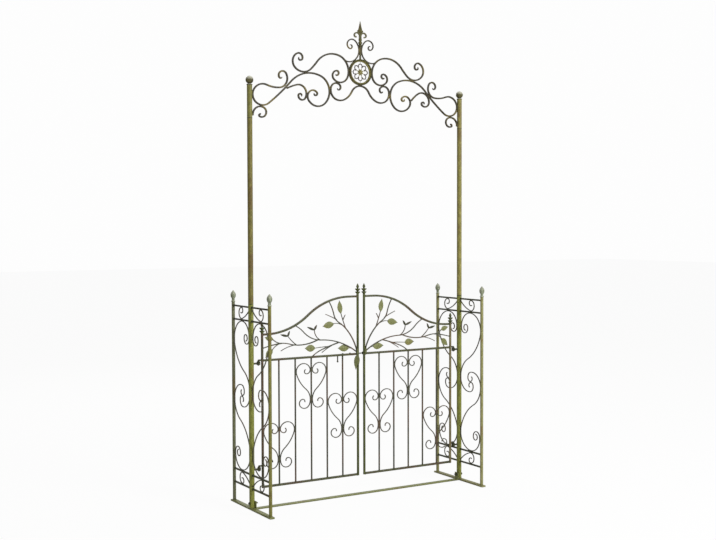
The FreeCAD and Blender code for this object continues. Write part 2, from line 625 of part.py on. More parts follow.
def build():
    parts = {}
    couplers, balls, acorns, bolts, posts = [], [], [], [], []
    for sign, prefix in ((-1, "left_"), (1, "right_")):
        lower, upper, sleeve, inner, ball = main_post(sign)
        parts[prefix + "lower_post"] = lower
        parts[prefix + "upper_post"] = upper
        parts["crown_" + prefix + "sleeve"] = sleeve
        couplers += inner
        balls.append(ball)
        side_panel(sign, parts, prefix)
        acorns += [side_finial(sign * POST_HALF, y) for y in (-PANEL_HALF, PANEL_HALF)]
        bolts.append(tie_bolt(sign, lower))
        parts[prefix + "hinge_eyes"] = hinge_eyes(sign)
        posts.append(rod(POST_R, vec(sign * POST_HALF, 0, POST_SEAM), vec(sign * POST_HALF, 0, POST_TOP)))
    parts["post_couplers"] = group(couplers)
    parts["ball_finials"] = group(balls)
    parts["acorn_finials"] = group(acorns)
    parts["ground_tie_bar"] = tie_bar()
    parts["tie_bar_bolts"] = group(bolts)
    parts.update(crown(posts))
    leaf = gate_leaf()
    spray = leaf.pop("hanging_spray")
    for name, shape in leaf.items():
        parts["left_leaf_" + name] = shape
        parts["right_leaf_" + name] = mirrored(shape)
    parts["left_leaf_vine_leaves"] = spray
    neighbours = [leaf["mid_rail"], leaf["meeting_stile"]]
    parts["latch_guides"] = group([guide_ring(x, GUIDE_R, GUIDE_BORE, neighbours) for x in GUIDES_X])
    parts["latch_keeper"] = guide_ring(MEETING_STILE_U, KEEPER_R, KEEPER_BORE,
                                       [mirrored(leaf["meeting_stile"])])
    parts["latch_bolt"] = latch_bolt()
    return parts


def write(parts):
    os.makedirs("parts", exist_ok=True)
    for name, shape in parts.items():
        shape.exportStep("parts/" + name + ".step")


if __name__ == "__main__":
    write(build())
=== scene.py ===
# %% [markdown]
# # A garden arch with a pair of gate leaves
# The real object is welded from round tube, square bar and a few castings, and then painted by
# hand: a near black green coat goes on first, and olive and bronze are dragged over it with an
# almost dry brush. The frame already holds every tube, bar and hinge at its real size, so this
# lesson is about the paint, the pressed leaves, the welds and the small castings.

# %% Load the frame
import json
import math
import bpy
from mathutils import Matrix, Vector
from mathutils.bvhtree import BVHTree


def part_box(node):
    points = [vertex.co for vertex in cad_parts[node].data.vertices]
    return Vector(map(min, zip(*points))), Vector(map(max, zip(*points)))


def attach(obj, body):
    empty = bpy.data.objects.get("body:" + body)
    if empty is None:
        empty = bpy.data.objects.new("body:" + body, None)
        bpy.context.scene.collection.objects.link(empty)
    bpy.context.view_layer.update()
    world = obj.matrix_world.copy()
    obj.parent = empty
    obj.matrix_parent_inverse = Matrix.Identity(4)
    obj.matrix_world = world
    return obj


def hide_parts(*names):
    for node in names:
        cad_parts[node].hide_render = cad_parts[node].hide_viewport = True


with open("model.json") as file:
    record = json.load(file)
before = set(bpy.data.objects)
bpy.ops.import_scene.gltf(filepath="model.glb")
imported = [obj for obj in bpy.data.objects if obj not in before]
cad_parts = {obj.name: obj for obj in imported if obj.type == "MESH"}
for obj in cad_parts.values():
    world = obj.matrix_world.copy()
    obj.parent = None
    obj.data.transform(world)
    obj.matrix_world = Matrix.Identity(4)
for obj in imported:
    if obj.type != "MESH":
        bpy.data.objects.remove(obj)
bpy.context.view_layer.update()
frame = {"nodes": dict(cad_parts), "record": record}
nodes = frame["nodes"]
MM = 0.001

# %% [markdown]
# ## Camera
# A camera is a place, a direction and a lens. The arch is seen from a little over its middle
# height, turned so that the left side panel comes forward. The lens is a short telephoto, which
# keeps the posts almost parallel.

# %% Camera
CAMERA_PLACE = Vector((-2.921, -4.795, 1.336))
CAMERA_AZIMUTH = math.radians(-31.21)
CAMERA_TILT = math.radians(-2.18)
CAMERA_ROLL = math.radians(-0.145)
CAMERA_LENS = 56.76
SENSOR_WIDTH = 36.0

camera_data = bpy.data.cameras.new("camera")
camera_data.lens = CAMERA_LENS
camera_data.sensor_width = SENSOR_WIDTH
camera = bpy.data.objects.new("camera", camera_data)
bpy.context.scene.collection.objects.link(camera)
camera.matrix_world = (Matrix.Translation(CAMERA_PLACE)
                       @ Matrix.Rotation(CAMERA_AZIMUTH, 4, "Z")
                       @ Matrix.Rotation(math.radians(90) + CAMERA_TILT, 4, "X")
                       @ Matrix.Rotation(CAMERA_ROLL, 4, "Z"))
bpy.context.scene.camera = camera
print("lens in mm:", CAMERA_LENS, "distance in m:", round(CAMERA_PLACE.length, 2))

# %% [markdown]
# ## Node helper and colours
# Every material below is a small graph. One helper adds a node, sets its values and links it, so
# a graph reads from top to bottom. Colours are written as the hex values a paint chart gives and
# are turned into the linear values that the renderer works with.


# %% Node helper and colours
def linear(hex_colour):
    # The standard sRGB curve, then full opacity
    values = [int(hex_colour[i:i + 2], 16) / 255 for i in (1, 3, 5)]
    return [v / 12.92 if v <= 0.04045 else ((v + 0.055) / 1.055) ** 2.4 for v in values] + [1.0]


def add(tree, kind, inputs=None, **settings):
    node = tree.nodes.new(kind)
    for key, value in settings.items():
        setattr(node, key, value)
    for key, value in (inputs or {}).items():
        if isinstance(value, bpy.types.NodeSocket):
            tree.links.new(value, node.inputs[key])
        else:
            node.inputs[key].default_value = value
    return node


# %% [markdown]
# ## Floor and backdrop
# A plain studio has a pale floor that takes a soft shadow, and a white surround. The camera sees
# both almost white, while the light that they send to the object stays low: a white background
# made by more light would bleach the paint.

# %% Floor and backdrop
FLOOR_COLOUR = "#f4f4f2"
FLOOR_SIZE = 60.0
FLOOR_DROP = 0.0005       # the feet stand a hair above the floor, so the two never flicker
FLOOR_WHITE = 0.94        # share of plain white in what the camera sees of the floor
SURROUND_LIGHT = 0.36     # strength of the surround as light on the object
SURROUND_SHOWN = 0.985    # its strength as the camera and reflections show it
WHITE = "#ffffff"

bpy.ops.object.select_all(action="DESELECT")
bpy.ops.mesh.primitive_plane_add(size=FLOOR_SIZE, location=(0, 0, -FLOOR_DROP))
floor = bpy.context.object
floor.name = "studio_floor"
floor_paint = bpy.data.materials.new("studio_floor")
floor_paint.use_nodes = True
tree = floor_paint.node_tree
tree.nodes.clear()
matt = add(tree, "ShaderNodeBsdfDiffuse", {"Color": linear(FLOOR_COLOUR)})
glow = add(tree, "ShaderNodeEmission", {"Color": linear(WHITE), "Strength": 1.0})
rays = add(tree, "ShaderNodeLightPath")
seen = add(tree, "ShaderNodeMath", {0: rays.outputs["Is Camera Ray"], 1: FLOOR_WHITE},
           operation="MULTIPLY")
both = add(tree, "ShaderNodeMixShader", {0: seen.outputs[0], 1: matt.outputs[0],
                                         2: glow.outputs[0]})
add(tree, "ShaderNodeOutputMaterial", {"Surface": both.outputs[0]})
floor.data.materials.append(floor_paint)

world = bpy.data.worlds.new("studio")
bpy.context.scene.world = world
world.use_nodes = True
tree = world.node_tree
tree.nodes.clear()
rays = add(tree, "ShaderNodeLightPath")
shown = add(tree, "ShaderNodeMath", {0: rays.outputs["Is Camera Ray"],
                                     1: rays.outputs["Is Glossy Ray"]}, operation="MAXIMUM")
strength = add(tree, "ShaderNodeMapRange", {"Value": shown.outputs[0], "To Min": SURROUND_LIGHT,
                                            "To Max": SURROUND_SHOWN})
surround = add(tree, "ShaderNodeBackground", {"Color": linear(WHITE),
                                              "Strength": strength.outputs[0]})
add(tree, "ShaderNodeOutputWorld", {"Surface": surround.outputs[0]})
print("floor in m:", FLOOR_SIZE, "surround as light:", SURROUND_LIGHT)

# %% [markdown]
# ## Soft lamps
# The key lamp stands to the right of the camera, so a round tube is bright on its right and falls
# off to a dark left side, and a square bar shows a dark side next to a paler front. A weak fill
# keeps that dark side readable, and a lamp behind the arch draws a thin pale rim.

# %% Soft lamps
LAMPS = {                 # place, width of the disk, power
    "key": ((1.8, -5.8, 3.4), 2.4, 345.0),
    "fill": ((-4.8, -3.0, 2.0), 3.0, 20.0),
    "back": ((1.0, 4.0, 3.6), 3.0, 60.0),
}
AIM = Vector((0, 0, 1.1))
for name, (place, size, power) in LAMPS.items():
    lamp_data = bpy.data.lights.new("lamp_" + name, "AREA")
    lamp_data.shape = "DISK"
    lamp_data.size = size
    lamp_data.energy = power
    lamp = bpy.data.objects.new("lamp_" + name, lamp_data)
    bpy.context.scene.collection.objects.link(lamp)
    lamp.location = place
    lamp.rotation_euler = (AIM - Vector(place)).to_track_quat("-Z", "Y").to_euler()
    print("lamp", name, "watts:", power)
bpy.context.scene.view_settings.view_transform = "Standard"

# %% [markdown]
# ## Dry brushed antique paint
# The paint is a satin alkyd enamel over steel. The eye reads three things in it: broad patches
# where olive turns to bronze, fine speckle where the brush skipped over the dark coat, and dark
# corners, which are painted shade. Patches and speckle are noise at real sizes, which runs round
# every tube without a seam, and the painted shade in the corners comes from ambient occlusion.
# The ball and acorn castings get a painted highlight on their tops, as if lit from above, which
# makes them nearly white: there the up direction of the surface picks the colour. Each piece could
# have a material of its own, but one recipe with its colours left open makes all of them look like
# one batch from one painter.

# %% Paint recipe
PATCH_MM = 140.0          # an olive or bronze patch
DRAG_MM = 26.0            # length of one brush mark
DRAG_SLIM = 0.3           # width of a mark as a share of its length
SPECKLE_MM = 4.5          # skipped brush marks, drawn coarser than life so that they show
SHADE_REACH_MM = 9.0           # how far the painted shade reaches into a corner
SKIN_MM = 0.4             # height of the ridges in the dried paint
PATCHED = (0.68, 0.78)    # noise where bronze starts and is full, less half its share
DRAGGED = (0.40, 0.66)    # noise where the light colour starts and is full
SKIPPED = (0.52, 0.72)    # noise where the dark coat starts to show and shows most
SKIPPED_MOST = 0.5        # share of the dark coat in a skipped mark
OPEN = (0.25, 0.8)        # ambient occlusion of a deep corner and of an open face
PAINTED_SHADE_SHARE = 0.85        # share of the dark coat in a deep corner, as painted shade
SATIN = (0.38, 0.66)      # roughness from a full stroke to a dragged one
SHEEN = 0.25              # half the usual reflection: a dragged coat is never quite smooth
# Colour of the painted highlight on the tops of the castings
TOP_HIGHLIGHT_COLOUR = "#d9d8c4"
TOP_HIGHLIGHT_SHARES = {"ball_casting": 0.85, "pale_casting": 0.35}     # share of painted highlight on a top
TOP_FACING = 0.75         # a face that points up this much has the whole painted highlight


def antique_paint(name, coat, light, bronze, dark, share, highlight):
    paint = bpy.data.materials.new(name)
    paint.use_nodes = True
    tree = paint.node_tree
    tree.nodes.clear()
    spot = add(tree, "ShaderNodeTexCoord")
    place = spot.outputs["Object"]
    patches = add(tree, "ShaderNodeTexNoise", {
        "Vector": place, "Scale": 1 / (PATCH_MM * MM), "Detail": 3.0, "Roughness": 0.6})
    patch = add(tree, "ShaderNodeMapRange", {
        "Value": patches.outputs["Fac"], "From Min": PATCHED[0] - share / 2,
        "From Max": PATCHED[1] - share / 2}, interpolation_type="SMOOTHSTEP")
    drawn = add(tree, "ShaderNodeMapping", {"Vector": place, "Scale": (1.0, 1.0, DRAG_SLIM)})
    drags = add(tree, "ShaderNodeTexNoise", {
        "Vector": drawn.outputs[0], "Scale": 1 / (DRAG_MM * DRAG_SLIM * MM), "Detail": 4.0,
        "Roughness": 0.65})
    drag = add(tree, "ShaderNodeMapRange", {
        "Value": drags.outputs["Fac"], "From Min": DRAGGED[0], "From Max": DRAGGED[1]},
        interpolation_type="SMOOTHSTEP")
    specks = add(tree, "ShaderNodeTexNoise", {
        "Vector": place, "Scale": 1 / (SPECKLE_MM * MM), "Detail": 2.0, "Roughness": 0.5})
    speck = add(tree, "ShaderNodeMapRange", {
        "Value": specks.outputs["Fac"], "From Min": SKIPPED[0], "From Max": SKIPPED[1],
        "To Max": SKIPPED_MOST})
    # Painted shade: ambient occlusion mixes the dark coat into corners and hollows
    corner = add(tree, "ShaderNodeAmbientOcclusion", {"Distance": SHADE_REACH_MM * MM}, samples=8)
    reach = add(tree, "ShaderNodeMapRange", {
        "Value": corner.outputs["AO"], "From Min": OPEN[0], "From Max": OPEN[1],
        "To Min": PAINTED_SHADE_SHARE, "To Max": 0.0})
    # Painted highlight: faces that point up turn pale, as if lit from above
    upward = add(tree, "ShaderNodeSeparateXYZ", {"Vector": spot.outputs["Normal"]})
    painted_highlight = add(tree, "ShaderNodeMapRange", {
        "Value": upward.outputs["Z"], "From Min": 0.0, "From Max": TOP_FACING, "To Max": highlight})
    olive = add(tree, "ShaderNodeMixRGB", {
        "Fac": drag.outputs[0], "Color1": linear(coat), "Color2": linear(light)})
    brushed = add(tree, "ShaderNodeMixRGB", {
        "Fac": patch.outputs[0], "Color1": olive.outputs[0], "Color2": linear(bronze)})
    skipped = add(tree, "ShaderNodeMixRGB", {
        "Fac": speck.outputs[0], "Color1": brushed.outputs[0], "Color2": linear(dark)})
    # The painted highlight on the tops goes in here
    highlighted = add(tree, "ShaderNodeMixRGB", {
        "Fac": painted_highlight.outputs[0], "Color1": skipped.outputs[0], "Color2": linear(TOP_HIGHLIGHT_COLOUR)})
    # The painted shade of the corners goes in here
    shaded = add(tree, "ShaderNodeMixRGB", {
        "Fac": reach.outputs[0], "Color1": highlighted.outputs[0], "Color2": linear(dark)})
    gloss = add(tree, "ShaderNodeMapRange", {
        "Value": drags.outputs["Fac"], "To Min": SATIN[0], "To Max": SATIN[1]})
    skin = add(tree, "ShaderNodeBump", {
        "Height": specks.outputs["Fac"], "Strength": 0.25, "Distance": SKIN_MM * MM})
    enamel = add(tree, "ShaderNodeBsdfPrincipled", {
        "Base Color": shaded.outputs[0], "Roughness": gloss.outputs[0],
        "Specular IOR Level": SHEEN, "Normal": skin.outputs[0]})
    add(tree, "ShaderNodeOutputMaterial", {"Surface": enamel.outputs[0]})
    return paint


# %% [markdown]
# ## Tones
# Each tone is the same paint with other colours. The tubes were brushed with most olive, the thin
# bars show mostly the dark coat, and the castings carry a painted highlight on their tops. Two
# posts
# of a kind are never quite alike: the tubes on the right came out more golden than those on the
# left, and so did one of the stiles.

# %% Tones
TONES = {                 # coat, light marks, bronze patches, dark coat below, share of bronze
    "olive_tube": ("#72752f", "#878a44", "#6e602c", "#24240e", 0.15),
    "bronze_tube": ("#655e2c", "#7c743c", "#64542c", "#221e0e", 0.35),
    "brass_tube": ("#767038", "#90884c", "#6e5f34", "#262210", 0.28),
    "grey_tube": ("#626448", "#737557", "#645a38", "#24261a", 0.15),
    "straw_tube": ("#827f50", "#959264", "#806f44", "#302e18", 0.20),
    "gold_tube": ("#6c6a34", "#807c42", "#6c6030", "#2c2810", 0.25),
    "umber_rail": ("#1e1d0c", "#34321c", "#3c301a", "#0e0f06", 0.25),
    "dark_rail": ("#2c2e16", "#43452a", "#4a3c22", "#15170b", 0.25),
    "thin_bar": ("#45443a", "#595746", "#584a3a", "#201f16", 0.30),
    "gate_bar": ("#3c3d31", "#51513e", "#584838", "#1d1e14", 0.40),
    "gate_rail": ("#40422a", "#56573a", "#4e4230", "#1f2110", 0.35),
    "hinge_stile": ("#383622", "#4b492d", "#544232", "#1a1a0e", 0.45),
    "straw_stile": ("#6f6646", "#857a56", "#75623e", "#282414", 0.40),
    "meeting_stile": ("#3e451e", "#545a2a", "#4c4828", "#1c200e", 0.15),
    "crown_bar": ("#241f0e", "#3b3418", "#645828", "#120f07", 0.30),
    "medallion": ("#665f2e", "#8a8244", "#6a5a2e", "#1e1c0e", 0.35),
    "medallion_flower": ("#3a332c", "#524a3e", "#4a3e3a", "#16140e", 0.25),
    "spear_casting": ("#423f24", "#625f36", "#50442a", "#181609", 0.30),
    "ball_casting": ("#3e3a1e", "#5c5832", "#504224", "#14120a", 0.25),
    "pale_casting": ("#70765e", "#939981", "#7c7858", "#2c3224", 0.15),
    "leaf_plate": ("#6e7144", "#7e8256", "#7c723b", "#3a3c1e", 0.25),
    "shaded_leaf": ("#52562f", "#666a42", "#5a542c", "#22240f", 0.25),
    "foot_bar": ("#70733f", "#868a55", "#726a3a", "#24260f", 0.20),
    "hardware": ("#2e301d", "#45472d", "#483c24", "#15160b", 0.25),
}
paints = {name: antique_paint("antique_paint_" + name, *colours, TOP_HIGHLIGHT_SHARES.get(name, 0.0))
          for name, colours in TONES.items()}
print("tones:", len(paints))

# %% [markdown]
# ## Paint for the nodes of the frame
# A node keeps its mesh and only gets a paint in its slots. A part of its name picks the tone, and
# the first entry that fits counts, so a special case stands before the general one.

# %% Paint the nodes of the frame
PAINTED = {               # part of a node's name and its tone
    "lower_post": "olive_tube", "right_upper_post": "brass_tube", "right_sleeve": "brass_tube",
    "upper_post": "bronze_tube", "sleeve": "gold_tube", "right_front_post": "straw_tube",
    "right_rear_post": "straw_tube", "right_base_bar": "straw_tube",
    "left_panel_top_rails": "umber_rail", "right_leaf_hinge_stile": "straw_stile",
    "front_post": "gold_tube", "rear_post": "grey_tube", "panel_top_rails": "dark_rail",
    "panel_bottom_rails": "dark_rail", "panel_scrolls": "thin_bar", "band_scrolls": "thin_bar",
    "base_bar": "foot_bar", "tie_bar": "foot_bar", "latch": "hardware",
    "hinge_eyes": "hardware", "hinge_pins": "hardware", "hinge_stile": "hinge_stile",
    "meeting_stile": "meeting_stile", "leaf_bars": "gate_bar", "heart_scrolls": "thin_bar",
    "top_rail": "gate_rail", "mid_rail": "gate_rail", "bottom_rail": "gate_rail",
    "vine_stems": "gate_bar", "vine_leaves": "leaf_plate", "stile_finials": "meeting_stile",
    "medallion": "medallion", "spear": "spear_casting", "crown": "crown_bar",
    "acorn_finials": "pale_casting", "ball_finials": "ball_casting", "couplers": "hardware",
}
for name, piece in nodes.items():
    tone = next(tone for key, tone in PAINTED.items() if key in name)
    for slot in piece.material_slots:
        slot.material = paints[tone]
print("painted nodes:", len(nodes))

# %% [markdown]
# ## Small helpers for new pieces
# A new piece is made straight from points that are already in place, so that its position is in
# its mesh. It rides on a body and hides the node that it stands for, if any. Sizes are
# written in millimetres, as on a workshop drawing, and become metres where the mesh is made.

# %% Small helpers for new pieces
DOUBLE = 0.02             # points this near are merged
SMOOTH_ANGLE = math.radians(50)


def box_mm(node):
    return [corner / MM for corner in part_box(node)]


def select_only(*pieces):
    bpy.ops.object.select_all(action="DESELECT")
    for piece in pieces:
        piece.select_set(True)
    bpy.context.view_layer.objects.active = pieces[0]


def joined(pieces, name):
    # One piece of many, left selected
    select_only(*pieces)
    bpy.ops.object.join()
    piece = bpy.context.object
    piece.name = name
    piece.data.name = name
    return piece


def mesh_piece(name, points, edges, faces, paint):
    # A piece from points in metres, left selected
    mesh = bpy.data.meshes.new(name)
    mesh.from_pydata(points, edges, faces)
    mesh.materials.append(paint)
    piece = bpy.data.objects.new(name, mesh)
    bpy.context.scene.collection.objects.link(piece)
    select_only(piece)
    return piece


def close_up():
    # Merge the doubles of the selected piece and point its faces outwards
    bpy.ops.object.mode_set(mode="EDIT")
    bpy.ops.mesh.select_all(action="SELECT")
    bpy.ops.mesh.remove_doubles(threshold=DOUBLE * MM)
    bpy.ops.mesh.normals_make_consistent(inside=False)
    bpy.ops.object.mode_set(mode="OBJECT")


def cone_between(start, end, start_radius, end_radius, sides, tone):
    # A cone or cylinder between two points in millimetres
    axis = end - start
    bpy.ops.object.select_all(action="DESELECT")
    bpy.ops.mesh.primitive_cone_add(
        vertices=sides, radius1=start_radius * MM, radius2=end_radius * MM,
        depth=axis.length * MM, location=(start + end) / 2 * MM,
        rotation=axis.to_track_quat("Z", "Y").to_euler())
    bpy.ops.object.transform_apply(location=True, rotation=True, scale=True)
    cone = bpy.context.object
    cone.data.materials.append(paints[tone])
    return cone


def wire(points, radius, tone, closed=False, shares=None):
    # A round wire through points in millimetres, shares give its thickness along the way
    curve = bpy.data.curves.new("wire", "CURVE")
    curve.dimensions = "3D"
    curve.bevel_depth = radius * MM
    curve.bevel_resolution = 2
    curve.use_fill_caps = not closed
    spline = curve.splines.new("POLY")
    spline.points.add(len(points) - 1)
    for corner, point, share in zip(spline.points, points, shares or [1.0] * len(points)):
        corner.co = (*(Vector(point) * MM), 1.0)
        corner.radius = share
    spline.use_cyclic_u = closed
    piece = bpy.data.objects.new("wire", curve)
    bpy.context.scene.collection.objects.link(piece)
    select_only(piece)
    bpy.ops.object.convert(target="MESH")
    bpy.ops.object.shade_smooth_by_angle(angle=SMOOTH_ANGLE)
    piece = bpy.context.object
    piece.data.materials.clear()
    piece.data.materials.append(paints[tone])
    return piece


def stands_for(piece, body, slot, *replaced):
    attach(piece, body)
    if replaced:
        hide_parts(*replaced)
    print(piece.name, "faces:", len(piece.data.polygons))


# %% [markdown]
# ## Pressed leaves
# The leaves are pressed from sheet metal. Pressing raises a midrib and pairs of side veins that
# run forward from it, and it cups the blade a little, which is why a leaf never shows one flat
# tone. Veins could be a pattern in the paint, but they would be gone when a leaf is seen from the
# side. So the blade is a grid: rows run from base to tip, columns from edge to edge, and the
# height of each point is a formula. The short thorn at the tip is the end of the wire that the
# blade was welded to.

# %% Pressed leaves
LEAF_ROWS = 30
LEAF_COLUMNS = 16
LEAF_SHEET = 1.2          # thickness of the sheet
LEAF_BELLY = 0.87         # below 1 the widest place lies nearer to the base
LEAF_FULLNESS = 0.85      # below 1 the outline is rounder than a sine curve
LEAF_CUP = 0.09           # share of the width that the edges bend back
SCALLOPS = 6              # waves along an edge
SCALLOP = 0.035           # their height as a share of the half width
MIDRIB_RISE = 1.1
MIDRIB_WIDTH = 1.1
MIDRIB_FADE = 0.7         # share of its height that the rib loses towards the tip
VEIN_RISE = 0.5
VEIN_PITCH = 6.5
VEIN_SLANT = 0.9          # how far a vein runs forward for each step aside
THORN = (-4, 3, 2.6, 0.8)        # start and end from the tip, and the radius at either end


def blade_point(base, along, side, width, row, column):
    # A point of the blade, lifted towards the front by rib, veins and cup
    t = row / LEAF_ROWS
    s = 2 * column / LEAF_COLUMNS - 1
    outline = math.sin(math.pi * t ** LEAF_BELLY) ** LEAF_FULLNESS
    half = width / 2 * outline * (1 + SCALLOP * math.sin(2 * math.pi * SCALLOPS * t))
    rib = MIDRIB_RISE * math.exp(-(s * half / MIDRIB_WIDTH) ** 2) * (1 - MIDRIB_FADE * t)
    forward = t * along.length - abs(s) * half * VEIN_SLANT
    wave = math.cos(2 * math.pi * forward / VEIN_PITCH)
    vein = VEIN_RISE * max(wave, 0) ** 3 * (1 - s * s)
    cup = LEAF_CUP * width * s * s * math.sin(math.pi * t)
    return base + along * t + side * (s * half) + Vector((0, cup - rib - vein, 0))


def pressed_leaf(base, tip, width, middle_y, mirror, tone):
    # One blade with its thorn
    base = Vector((mirror * base[0], middle_y, base[1]))
    tip = Vector((mirror * tip[0], middle_y, tip[1]))
    along = tip - base
    side = along.cross(Vector((0, -1, 0))).normalized()
    points = [blade_point(base, along, side, width, row, column) * MM
              for row in range(LEAF_ROWS + 1) for column in range(LEAF_COLUMNS + 1)]
    step = LEAF_COLUMNS + 1
    corners = [row * step + column for row in range(LEAF_ROWS) for column in range(LEAF_COLUMNS)]
    faces = [(k, k + 1, k + step + 1, k + step) for k in corners]
    blade = mesh_piece("blade", points, [], faces, paints[tone])
    sheet = blade.modifiers.new("sheet", "SOLIDIFY")
    sheet.thickness = LEAF_SHEET * MM
    sheet.offset = 0.0
    bpy.ops.object.modifier_apply(modifier="sheet")
    close_up()
    ahead = along.normalized()
    thorn = cone_between(tip + ahead * THORN[0], tip + ahead * THORN[1], THORN[2], THORN[3], 12,
                         "hardware")
    return [blade, thorn]


# %% [markdown]
# ## Buds
# A bud is two fat prongs that part at a fork. They could be turned like the finials, but a wire
# that swells and thins out along its way can bend as well. Each is thickest near the fork, almost
# closes at the tip, and sags a little between the two.

# %% Buds
BUD_R = 4.4
BUD_SAG = 3.0
BUD_SHAPE = (0.75, 1.0, 0.95, 0.7, 0.3)     # thickness of a prong from the fork to the tip


def bud(fork, tips, mirror):
    prongs = []
    for tip in tips:
        points = []
        for i in range(len(BUD_SHAPE)):
            t = i / (len(BUD_SHAPE) - 1)
            points.append((mirror * (fork[0] + (tip[0] - fork[0]) * t), 0,
                           fork[1] + (tip[1] - fork[1]) * t - BUD_SAG * math.sin(math.pi * t)))
        prongs.append(wire(points, BUD_R, "hardware", shares=BUD_SHAPE))
    return prongs


# %% [markdown]
# ## Leaves and buds on their stems
# Both gate leaves carry the same vine, one as the mirror image of the other, so one list of
# places serves both. A mirrored copy of the finished spray would do as well, but mirroring turns a
# mesh inside out. The small leaves in front of the meeting stile sit on a stub of wire. Two more
# hang under the middle rail, and only on the left.

# %% Leaves and buds on their stems
VINE_LEAVES = (           # base and tip as distance from the middle and height, then the width
    ((489, 801), (532, 813), 25), ((493, 754), (529, 718), 30), ((156, 861), (216, 851), 33),
    ((116, 910), (124, 972), 28), ((261, 747), (316, 749), 34), ((70, 737), (131, 739), 34),
)
BRACT = ((22, 698), (25, 738), 12)
HANGING_LEAVES = (((33, 699), (35, 630), 21), ((27, 704), (20, 646), 24))
BUDS = (                  # fork, then the two tips, as distance from the middle and height
    ((411, 814), (450, 823), (400, 838)), ((265, 837), (304, 852), (251, 860)),
)
FRONT_Y = -8.5            # of the small leaves, in front of the stile
STUB_U = 26.0             # of the stub, from the middle of the gate
STUB_DROP = 6             # from the top of the middle rail to the stub
STUB_Y = (-4, FRONT_Y - 1)
STUB_R = (3.0, 2.6)

for body, mirror, hanging in (("left_leaf", -1, HANGING_LEAVES), ("right_leaf", 1, ())):
    blades = []
    for base, tip, width in VINE_LEAVES:
        blades += pressed_leaf(base, tip, width, 0.0, mirror, "leaf_plate")
    for base, tip, width in (BRACT, *hanging):
        blades += pressed_leaf(base, tip, width, FRONT_Y, mirror, "shaded_leaf")
    for fork, *tips in BUDS:
        blades += bud(fork, tips, mirror)
    stub_z = box_mm(body + "_mid_rail")[1].z - STUB_DROP
    stub_ends = [Vector((mirror * STUB_U, y, stub_z)) for y in STUB_Y]
    blades.append(cone_between(*stub_ends, *STUB_R, 20, "hardware"))
    spray = joined(blades, body + "_pressed_leaves")
    bpy.ops.object.shade_smooth_by_angle(angle=SMOOTH_ANGLE)
    stands_for(spray, body, "leaf_plates", body + "_vine_leaves")

# %% [markdown]
# ## Square bar with rolled corners
# Hot rolled square bar never has a sharp corner: the mill leaves a radius of about a tenth of its
# side, and that radius catches a thin line of light. A material can fake it, but an exported mesh
# would keep its sharp corners, so they are cut into the mesh. Each bar is a merged copy of its
# solid, with the flat sides made whole again, and then a bevel on every corner.

# %% Square bar with rolled corners
ROLLED = {                # end of a node's name and the radius of its corners
    "crown_left_scrolls": 0.9, "crown_right_scrolls": 0.9, "crown_upper_scrolls": 0.9,
    "crown_lower_scroll": 0.9, "crown_crest_scrolls": 0.7, "medallion_ring": 1.5,
    "heart_scrolls": 0.6, "panel_scrolls": 0.6, "band_scrolls": 0.6,
    "top_rail": 1.0, "mid_rail": 1.0, "bottom_rail": 1.0, "top_rails": 0.9, "bottom_rails": 0.9,
    "vine_stems": 0.8, "base_bar": 1.0, "tie_bar": 0.8,
}
SAME_POINT = 0.005        # corners of triangles this near are one point
FLAT_ANGLE = math.radians(1)
CORNER_ANGLE = math.radians(40)
BODIES = {node: body for body, members in frame["record"]["behaviour"]["bodies"].items()
          for node in members}
SLOTS = {row["node"]: row["material_slot"] for row in frame["record"]["subparts"]}


def rolled_copy(name, radius):
    piece = bpy.data.objects.new(name + "_rolled", nodes[name].data.copy())
    bpy.context.scene.collection.objects.link(piece)
    select_only(piece)
    if piece.data.has_custom_normals:
        bpy.ops.mesh.customdata_custom_splitnormals_clear()
    bpy.ops.object.mode_set(mode="EDIT")
    bpy.ops.mesh.select_all(action="SELECT")
    bpy.ops.mesh.remove_doubles(threshold=SAME_POINT * MM)
    bpy.ops.mesh.tris_convert_to_quads(face_threshold=FLAT_ANGLE, shape_threshold=math.pi)
    bpy.ops.object.mode_set(mode="OBJECT")
    corner = piece.modifiers.new("corner", "BEVEL")
    corner.width = radius * MM
    corner.segments = 2
    corner.limit_method = "ANGLE"
    corner.angle_limit = CORNER_ANGLE
    corner.use_clamp_overlap = False
    bpy.ops.object.modifier_apply(modifier="corner")
    bpy.ops.object.shade_smooth_by_angle(angle=CORNER_ANGLE)
    stands_for(piece, BODIES[name], SLOTS[name], name)


for name in sorted(nodes):
    for ending, radius in ROLLED.items():
        if name.endswith(ending):
            rolled_copy(name, radius)

# %% [markdown]
# ## Drawn out tips
# Before a crown scroll is rolled its ends are drawn out to thin tongues, so the last stretch of
# each curl is slimmer than the bar and closes like a small eye. A tongue starts where the square
# bar ends, with the same heading, and tightens as it goes. A curve object would give it a round
# section. The bar is square with rolled corners, so a tongue is a row of eight sided rings.

# %% Drawn out tips
TONGUE_STEPS = 14
TONGUE_RADII = (8.5, 5.0)    # of the curl at the start and at the end of a tongue
TONGUE_END = 0.4             # share of the bar that is left at the end
CROWN_BAR = 8.0
CREST_BAR = 6.0
CURL_ENDS = (                # x, height, heading and further turn in degrees, bar, both sides
    (-447.0, 2044.5, 323, 130, CROWN_BAR, True), (-257.2, 1973.3, 152, -90, CROWN_BAR, True),
    (-332.3, 1973.7, 324, -100, CROWN_BAR, False), (379.5, 1971.6, 326, -85, CROWN_BAR, False),
    (-341.0, 2137.5, 151, -120, CROWN_BAR, True), (-134.8, 2077.4, 179, -65, CROWN_BAR, True),
    (-119.0, 2008.3, 218, -140, CROWN_BAR, True), (-48.5, 2227.9, 124, 105, CREST_BAR, True),
)
FLAT = 0.78                  # half a flat side of the section, its corners are rolled off
SECTION = ((1, FLAT), (FLAT, 1), (-FLAT, 1), (-1, FLAT),
           (-1, -FLAT), (-FLAT, -1), (FLAT, -1), (1, -FLAT))


